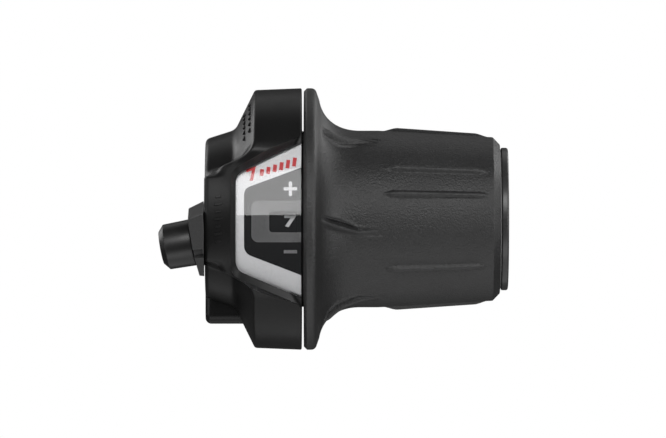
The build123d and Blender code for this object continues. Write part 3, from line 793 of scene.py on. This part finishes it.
def build_panel():
    """Printed panel under the lens: white band, dark face and bevelled number window."""
    thick, bevel = 0.6, 0.5
    points, faces = framed(LENS_CORNERS, BAND_CORNERS, panel_radius, panel_radius, thick)
    band = make_piece("panel_band", points, faces, band_white, "shifter_body", 50)
    points, faces = framed(BAND_CORNERS, NUMBER_CORNERS, panel_radius, panel_radius, thick)
    make_piece("panel_face", points, faces, panel_black, "shifter_body", 50)
    points, faces = framed(NUMBER_CORNERS, SIGHT_CORNERS, panel_radius,
                           lambda x: panel_radius(x) - bevel, 0.2)
    make_piece("number_frame", points, faces, frame_grey, "shifter_body", 50)
    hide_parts("indicator_panel")


build_lens()
build_panel()


def bar_mark(name, x, z, width, height, lean, radius, material, body, thick=0.06):
    """A thin printed bar that follows the curved surface: centre, size and lean in degrees."""
    turn = math.radians(lean)
    columns, rows = 8, 8
    points = []
    for lift in (0.0, -thick):
        for i in range(columns + 1):
            for j in range(rows + 1):
                u = (i / columns - 0.5) * width
                v = (j / rows - 0.5) * height
                px = x + u * math.cos(turn) - v * math.sin(turn)
                pz = z + u * math.sin(turn) + v * math.cos(turn)
                points.append(on_cylinder(px, pz, radius(px) + 0.03 + lift))
    return make_piece(name, points, slab_faces(columns, rows, 2), material, body, 40)


def digit_piece(name, text, x, z_angle, width, height, radius, material, body, lean=0.0):
    """A plain figure wrapped round the bar axis, centred at station x and an angle."""
    font = bpy.data.curves.new(name, "FONT")
    font.body = text
    font.offset = 0.035
    font.extrude = 0.02
    font.resolution_u = 6
    holder = bpy.data.objects.new(name, font)
    bpy.context.scene.collection.objects.link(holder)
    graph = bpy.context.evaluated_depsgraph_get()
    mesh = bpy.data.meshes.new_from_object(holder.evaluated_get(graph))
    bpy.data.objects.remove(holder)
    # long edges are divided, so that the figure can bend round the bar axis
    work = bmesh.new()
    work.from_mesh(mesh)
    bmesh.ops.remove_doubles(work, verts=work.verts, dist=1e-5)
    long_edges = [e for e in work.edges if e.calc_length() > 0.12]
    bmesh.ops.subdivide_edges(work, edges=long_edges, cuts=3)
    work.to_mesh(mesh)
    work.free()
    xs = [v.co.x for v in mesh.vertices]
    ys = [v.co.y for v in mesh.vertices]
    zs = [v.co.z for v in mesh.vertices]
    turn = math.radians(lean)
    sunk, thick = 0.03, 0.13
    for v in mesh.vertices:
        u = ((v.co.x - min(xs)) / (max(xs) - min(xs)) - 0.5) * width
        w = ((v.co.y - min(ys)) / (max(ys) - min(ys)) - 0.5) * height
        depth = (v.co.z - min(zs)) / (max(zs) - min(zs))
        px = x + u * math.cos(turn) - w * math.sin(turn)
        arc = u * math.sin(turn) + w * math.cos(turn)
        r = radius(px)
        v.co = around(px, r - sunk + thick * depth, z_angle + math.degrees(arc / r)) * MM
    piece = bpy.data.objects.new(name, mesh)
    bpy.context.scene.collection.objects.link(piece)
    return dress(piece, material, body, 40)


def raised_bar(name, middle, along_way, out_way, size):
    """A small raised bar with chamfered top edges: middle, directions and (long, wide, high)."""
    along_way = along_way.normalized()
    out_way = out_way.normalized()
    side = out_way.cross(along_way).normalized()
    long, wide, high = size
    count = 24
    points = []
    for lift, shrink in ((-0.3, 1.0), (high * 0.6, 1.0), (high, 0.72)):
        for k in range(count):
            turn = 2 * math.pi * k / count
            u = math.copysign(abs(math.cos(turn)) ** 0.5, math.cos(turn)) * long / 2 * shrink ** 0.4
            v = math.copysign(abs(math.sin(turn)) ** 0.5, math.sin(turn)) * wide / 2 * shrink
            points.append(middle + along_way * u + side * v + out_way * lift)
    faces = tube_faces(3, count, loop=False)
    faces += [tuple(range(count)), tuple(range(2 * count, 3 * count))]
    make_piece(name, points, faces, housing_black, "shifter_body", 30)


def build_raised_marks():
    """Plain raised bars on the nose and on the upper cone, where the mould carries a mark."""
    nose_x, nose_r, nose_step = 2.9, 22.85, 1.5
    for k in range(7):
        z = 4.5 - nose_step * k
        angle = math.degrees(math.asin(z / 22.8))
        long = 1.7 if k % 2 else 1.2
        raised_bar(f"nose_mark_{k}", around(nose_x, nose_r, angle), Vector((1, 0, 0.18)),
                   around(0, 1, angle), (long, 0.5, 0.28))
    slope = math.atan2(DRUM[1] - SHOULDER[1], DRUM[0] - SHOULDER[0])
    cone_size = (1.15, 0.55, 0.26)
    for k in range(6):
        angle = 47.0 + 4.6 * k
        for row, x in enumerate((8.1, 9.2)):
            r = mix(SHOULDER[1], DRUM[1], (x - SHOULDER[0]) / (DRUM[0] - SHOULDER[0]))
            round_way = around(0, 1, angle + 90) + Vector((0.25, 0, 0))
            out_way = around(0, 1, angle) * math.cos(slope) - Vector((math.sin(slope), 0, 0))
            raised_bar(f"cone_mark_{row}_{k}", around(x, r, angle), round_way, out_way, cone_size)


build_raised_marks()

DIAL_R = box_mm("indicator_dial")[1][2]
CLICK = 11.0
MARK_X = 17.5
SIGHT_ANGLE = -1.2
FIGURE_HEIGHT = 2.4
# the figures go round the dial one click apart, and 7 stands in the opening at rest
for gear in range(1, 8):
    figure_width = 1.2 if gear == 1 else 2.5
    digit_piece(f"gear_figure_{gear}", str(gear), MARK_X, SIGHT_ANGLE + (7 - gear) * CLICK, figure_width,
                FIGURE_HEIGHT, lambda x: DIAL_R, ink_white, "rotor")

SIGN_LENGTH, SIGN_STROKE = 2.7, 0.66
# the bars of the plus and minus signs: name, middle's z, width, height and ink
SIGN_BARS = (
    ("plus_bar_across", 6.1, SIGN_LENGTH, SIGN_STROKE, ink_white),
    ("plus_bar_upper", 7.0, SIGN_STROKE, 1.1, ink_white),
    ("plus_bar_lower", 5.2, SIGN_STROKE, 1.1, ink_white),
    ("minus_bar", -6.6, SIGN_LENGTH, SIGN_STROKE, ink_grey),
)
for name, z, width, height, ink in SIGN_BARS:
    bar_mark(name, MARK_X, z, width, height, 0, panel_radius, ink, "shifter_body")

# a red 7 and six rising bars on the white band, in place of the lettering
BAND_LEAN = 15.0
BAND_RISE = math.tan(math.radians(BAND_LEAN)) * 1.2
SEVEN_X, SEVEN_Z = 9.85, 9.1
BAR_X0, BAR_Z0, BAR_STEP = 11.7, 9.4, 1.32
seven_angle = math.degrees(math.asin(SEVEN_Z / panel_radius(SEVEN_X)))
digit_piece("band_figure", "7", SEVEN_X, seven_angle, 2.1, 2.85, panel_radius, ink_red, "shifter_body",
            lean=BAND_LEAN)
for step in range(6):
    bar_x = BAR_X0 + BAR_STEP * step
    bar_mark(f"band_bar_{step}", bar_x, BAR_Z0 + BAND_RISE * (bar_x - BAR_X0), 0.78, 1.35 + 0.09 * step,
             BAND_LEAN - 22, panel_radius, ink_red, "shifter_body")


# ---- adjusting barrel, collar, end ring ---------------------------------------------------

BARREL_AT = Vector((0.0, -17.0, -4.3))
DOWN, AWAY = math.radians(10.2), math.radians(4.0)
BARREL_OUT = Vector((-math.cos(DOWN) * math.cos(AWAY), math.sin(AWAY), -math.sin(DOWN))).normalized()
BARREL_UP = (Vector((0, 0, 1)) - BARREL_OUT * BARREL_OUT.z).normalized()
BARREL_BACK = BARREL_OUT.cross(BARREL_UP)


def on_barrel(point):
    """Point given along the barrel, away from the rider and up, in the part's frame."""
    return BARREL_AT + BARREL_OUT * point[0] + BARREL_BACK * point[1] + BARREL_UP * point[2]


COLLAR_TIP = 2.15
COLLAR_FOOT = -1.2
# the hexagon's half width across its flats, at the foot and at the tip
HALF_FLATS = (6.95, 6.1)
# one corner of the hexagon, and the notch that runs along its next edge
CORNER_ANGLE = 40.3
NOTCH = (-31.0, -14.5)
SHANK_R, SHANK_END = 3.38, -3.35
NOSE_GAP = 0.03
KNOB_START, KNOB_END = COLLAR_TIP + 0.15, 8.85
KNOB_R = 4.75
STEM_R, STEM_END = 2.49, -3.0
CABLE_R = 0.95
SOCKET_DEPTH = 5.2


def build_barrel():
    """Smooth barrel with a chamfered mouth, casing socket and stem."""
    floor_u = KNOB_END - SOCKET_DEPTH
    profile = rounded([(STEM_END, CABLE_R, 0), (STEM_END, STEM_R, 0.3), (KNOB_START, STEM_R, 0),
                       (KNOB_START, KNOB_R, 0.25), (7.75, 4.6, 0.25), (KNOB_END, 3.3, 0.15),
                       (KNOB_END, 2.62, 0.12), (floor_u, 2.56, 0), (floor_u, CABLE_R, 0)], 6, closed=True)
    points, faces = lathe(profile, 96, on_barrel)
    piece = make_piece("barrel_knob", points, faces, barrel_black, "barrel", 38)
    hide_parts("adjusting_barrel")


def collar_radius(u, angle):
    """Outside of the collar: a hexagon that widens towards the nose, with one notch."""
    flats = mix(*HALF_FLATS, (u - COLLAR_FOOT) / (COLLAR_TIP - COLLAR_FOOT))
    hex_r = flats / math.cos(math.radians((angle - CORNER_ANGLE) % 60 - 30))
    if NOTCH[0] < (angle + 180) % TURN - 180 < NOTCH[1] and u > 0.2:
        return 5.75
    return hex_r


def foot_at(r, angle):
    """How far along the barrel's axis the nose's end face is, at a distance and angle from it."""
    return (NOSE_GAP + (on_barrel(around(0, r, angle)) - BARREL_AT).x) / -BARREL_OUT.x


def build_collar():
    """Hexagonal collar that widens towards the nose, over a round shank."""
    count = 360
    angles = [TURN * k / count for k in range(count)]
    shares = [k / 14 for k in range(14)] + [0.96, 1.0]
    points = []
    for share in shares:
        edge = 0.14 if share == 1.0 else 0.0
        for angle in angles:
            u = mix(foot_at(7.0, angle), COLLAR_TIP, share)
            points.append(on_barrel(around(u, collar_radius(u, angle) - edge, angle)))
    pocket_r, pocket_u, thread_r = 4.1, 0.95, 2.56
    back = [(COLLAR_TIP, pocket_r), (pocket_u, pocket_r), (pocket_u, thread_r), (SHANK_END, thread_r),
            (SHANK_END, SHANK_R)]
    for u, r in back:
        points += [on_barrel(around(u, r, angle)) for angle in angles]
    points += [on_barrel(around(foot_at(SHANK_R, angle), SHANK_R, angle)) for angle in angles]
    faces = tube_faces(len(shares) + len(back) + 1, count)
    piece = make_piece("barrel_collar", points, faces, collar_black, "shifter_body", 20)
    # the side next to the handlebar is trimmed clear of it
    bar_path_r = 12.15
    cut(piece, [rod_tool((-10, 0, 0), (1, 0, 0), bar_path_r, 9.98, 128)])
    dress(piece, collar_black, "shifter_body", 20)
    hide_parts("barrel_insert")


def build_end_ring():
    """End ring with rounded edges and a shallow step in its outer face."""
    bore_r, step_x = 12.33, RING_X1 - 0.25
    profile = rounded([(RING_X0, bore_r, 0), (RING_X0, RING_R, 0.3), (RING_X1, RING_R, 0.45),
                       (RING_X1, 13.3, 0.12), (step_x, 13.1, 0.1), (step_x, bore_r, 0)], 7, closed=True)
    points, faces = lathe(profile, 256)
    piece = make_piece("retaining_ring", points, faces, ring_black, "shifter_body", 38)
    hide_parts("end_ring")


build_barrel()
build_collar()
build_end_ring()


# ---- materials on the CAD pieces that stay ------------------------------------------------

CAD_LOOKS = {
    "bracket_base": inner_black,
    "clamp_band": plated_steel,
    "clamp_bolt": black_steel,
    "bolt_washer": plated_steel,
    "clamp_nut": plated_steel,
    "cover_screws": black_steel,
    "cable_guide": inner_black,
    "detent_spring": plated_steel,
    "detent_cap": inner_black,
    "cable_port_plug": plug_black,
    "inner_washer": nylon,
    "end_washer": nylon,
    "rotor_tube": inner_black,
    "cable_spool": nylon,
    "indicator_dial": dial_black,
    "detent_ring": nylon,
    "detent_ball": plated_steel,
    "barrel_click_ring": plated_steel,
}
for node, look in CAD_LOOKS.items():
    for slot_entry in bpy.data.objects[node].material_slots:
        slot_entry.material = look


# ---- stage, lights and camera -------------------------------------------------------------

def build_stage():
    """Plain pale floor well below the part, seen from above only."""
    mesh = bpy.data.meshes.new("floor")
    reach, drop = 2.4, -0.12
    corners = [(-reach, -reach, drop), (reach, -reach, drop), (reach, reach, drop), (-reach, reach, drop)]
    mesh.from_pydata(corners, [], [(0, 1, 2, 3)])
    floor = bpy.data.objects.new("floor", mesh)
    bpy.context.scene.collection.objects.link(floor)
    material, tree, shader, place = base_material("floor_paper", 0.8)
    fibre = noise_node(tree, place, 60.0, 4.0)
    link(tree, ramp_node(tree, fibre, [(0.3, grey(0.66)), (0.7, grey(0.7))]), shader.inputs["Base Color"])
    # the floor's underside is clear, so that it never hides the part
    under = tree.nodes.new("ShaderNodeNewGeometry").outputs["Backfacing"]
    choose = tree.nodes.new("ShaderNodeMixShader")
    link(tree, under, choose.inputs["Fac"])
    link(tree, shader.outputs["BSDF"], choose.inputs[1])
    link(tree, tree.nodes.new("ShaderNodeBsdfTransparent").outputs["BSDF"], choose.inputs[2])
    link(tree, choose.outputs["Shader"], tree.nodes["Material Output"].inputs["Surface"])
    mesh.materials.append(material)
    # the floor throws no light back on the part
    floor.visible_glossy = False
    floor.visible_diffuse = False


# what the lamps aim at, in metres
MIDDLE = Vector((0.026, 0, 0))


def area_light(name, place, aim, size, power):
    """A rectangular lamp, in metres and watts, that the camera doesn't see."""
    lamp = bpy.data.lights.new(name, "AREA")
    lamp.shape = "RECTANGLE"
    lamp.size, lamp.size_y = size
    lamp.energy = power
    holder = bpy.data.objects.new(name, lamp)
    holder.location = place
    holder.rotation_euler = (Vector(aim) - Vector(place)).to_track_quat("-Z", "Y").to_euler()
    holder.visible_camera = False
    bpy.context.scene.collection.objects.link(holder)
    return holder


def softbox(name, bearing, height, reach, size, radiance):
    """A softbox at a bearing from the rider's side and a height angle, aimed at the part."""
    turn, rise = math.radians(bearing), math.radians(height)
    place = Vector((math.sin(turn) * math.cos(rise), -math.cos(turn) * math.cos(rise), math.sin(rise)))
    power = radiance * math.pi * size[0] * size[1]
    return area_light(name, place * reach + MIDDLE, MIDDLE, size, power)


PRINTED = ["panel_band", "number_frame", "band_figure"] + [bar[0] for bar in SIGN_BARS]
PRINTED += [f"band_bar_{step}" for step in range(6)] + [f"gear_figure_{gear}" for gear in range(1, 8)]


def light_only(name, pieces, lamps):
    """Let some lamps light nothing but the named pieces."""
    group = bpy.data.collections.new(name)
    for piece in pieces:
        group.objects.link(bpy.data.objects[piece])
    for lamp in lamps:
        lamp.light_linking.receiver_collection = group
    return group


def build_lights():
    """Softboxes round the part, two of them low, and lamps for the lens and the print alone."""
    # name, bearing, height angle, distance, size and radiance
    softbox("left", -62, 12, 0.9, (0.7, 0.9), 1.4)
    softbox("right", 62, 10, 0.9, (0.7, 0.9), 2.7)
    softbox("front_top", 0, 29, 1.1, (0.8, 0.38), 6.2)
    low_card = softbox("low_card", 0, -51, 0.6, (0.9, 0.32), 1.5)
    under = softbox("under", 0, -98, 0.6, (0.9, 0.6), 0.7)
    softbox("behind", 0, 125, 0.9, (0.9, 0.5), 0.5)
    for name, bearing in (("back_left", -128), ("back_right", 128)):
        softbox(name, bearing, 24, 1.1, (0.7, 0.7), 2.6)
    glint = softbox("window_glint", 0, 27, 0.9, (1.2, 0.76), 3.0)
    print_light = softbox("print_light", 0, 38, 0.9, (0.7, 0.3), 12.5)
    light_only("lens_lit", ("lens",), (glint,))
    # these two stand under the floor, which lets their light through
    solid = [o.name for o in bpy.data.objects if o.type == "MESH" and o.name not in ("lens", "floor")]
    blockers = light_only("not_lens", solid, (low_card, under))
    low_card.light_linking.blocker_collection = blockers
    under.light_linking.blocker_collection = blockers
    light_only("print_lit", PRINTED, (print_light,))


def build_surround():
    """A surround that the camera sees as white and that adds a little even light."""
    world = bpy.data.worlds.new("surround")
    bpy.context.scene.world = world
    world.use_nodes = True
    tree = world.node_tree
    seen = tree.nodes.new("ShaderNodeBackground")
    seen.inputs["Color"].default_value = (1, 1, 1, 1)
    lit = tree.nodes["Background"]
    lit.inputs["Color"].default_value = (1, 1, 1, 1)
    lit.inputs["Strength"].default_value = 0.06
    choose = tree.nodes.new("ShaderNodeMixShader")
    ray = tree.nodes.new("ShaderNodeLightPath")
    link(tree, ray.outputs["Is Camera Ray"], choose.inputs["Fac"])
    link(tree, lit.outputs["Background"], choose.inputs[1])
    link(tree, seen.outputs["Background"], choose.inputs[2])
    link(tree, choose.outputs["Shader"], tree.nodes["World Output"].inputs["Surface"])


def build_camera():
    """Level camera on the rider's side, square to the bar."""
    lens = bpy.data.cameras.new("camera")
    lens.lens = 422
    lens.sensor_width = 36
    lens.clip_end = 20
    holder = bpy.data.objects.new("camera", lens)
    away = 1.6
    holder.location = (0.0261, -away, 0.0)
    holder.rotation_euler = (math.radians(90), 0, 0)
    bpy.context.scene.collection.objects.link(holder)
    bpy.context.scene.camera = holder


build_stage()
build_lights()
build_surround()
build_camera()
bpy.context.scene.view_settings.view_transform = "Standard"
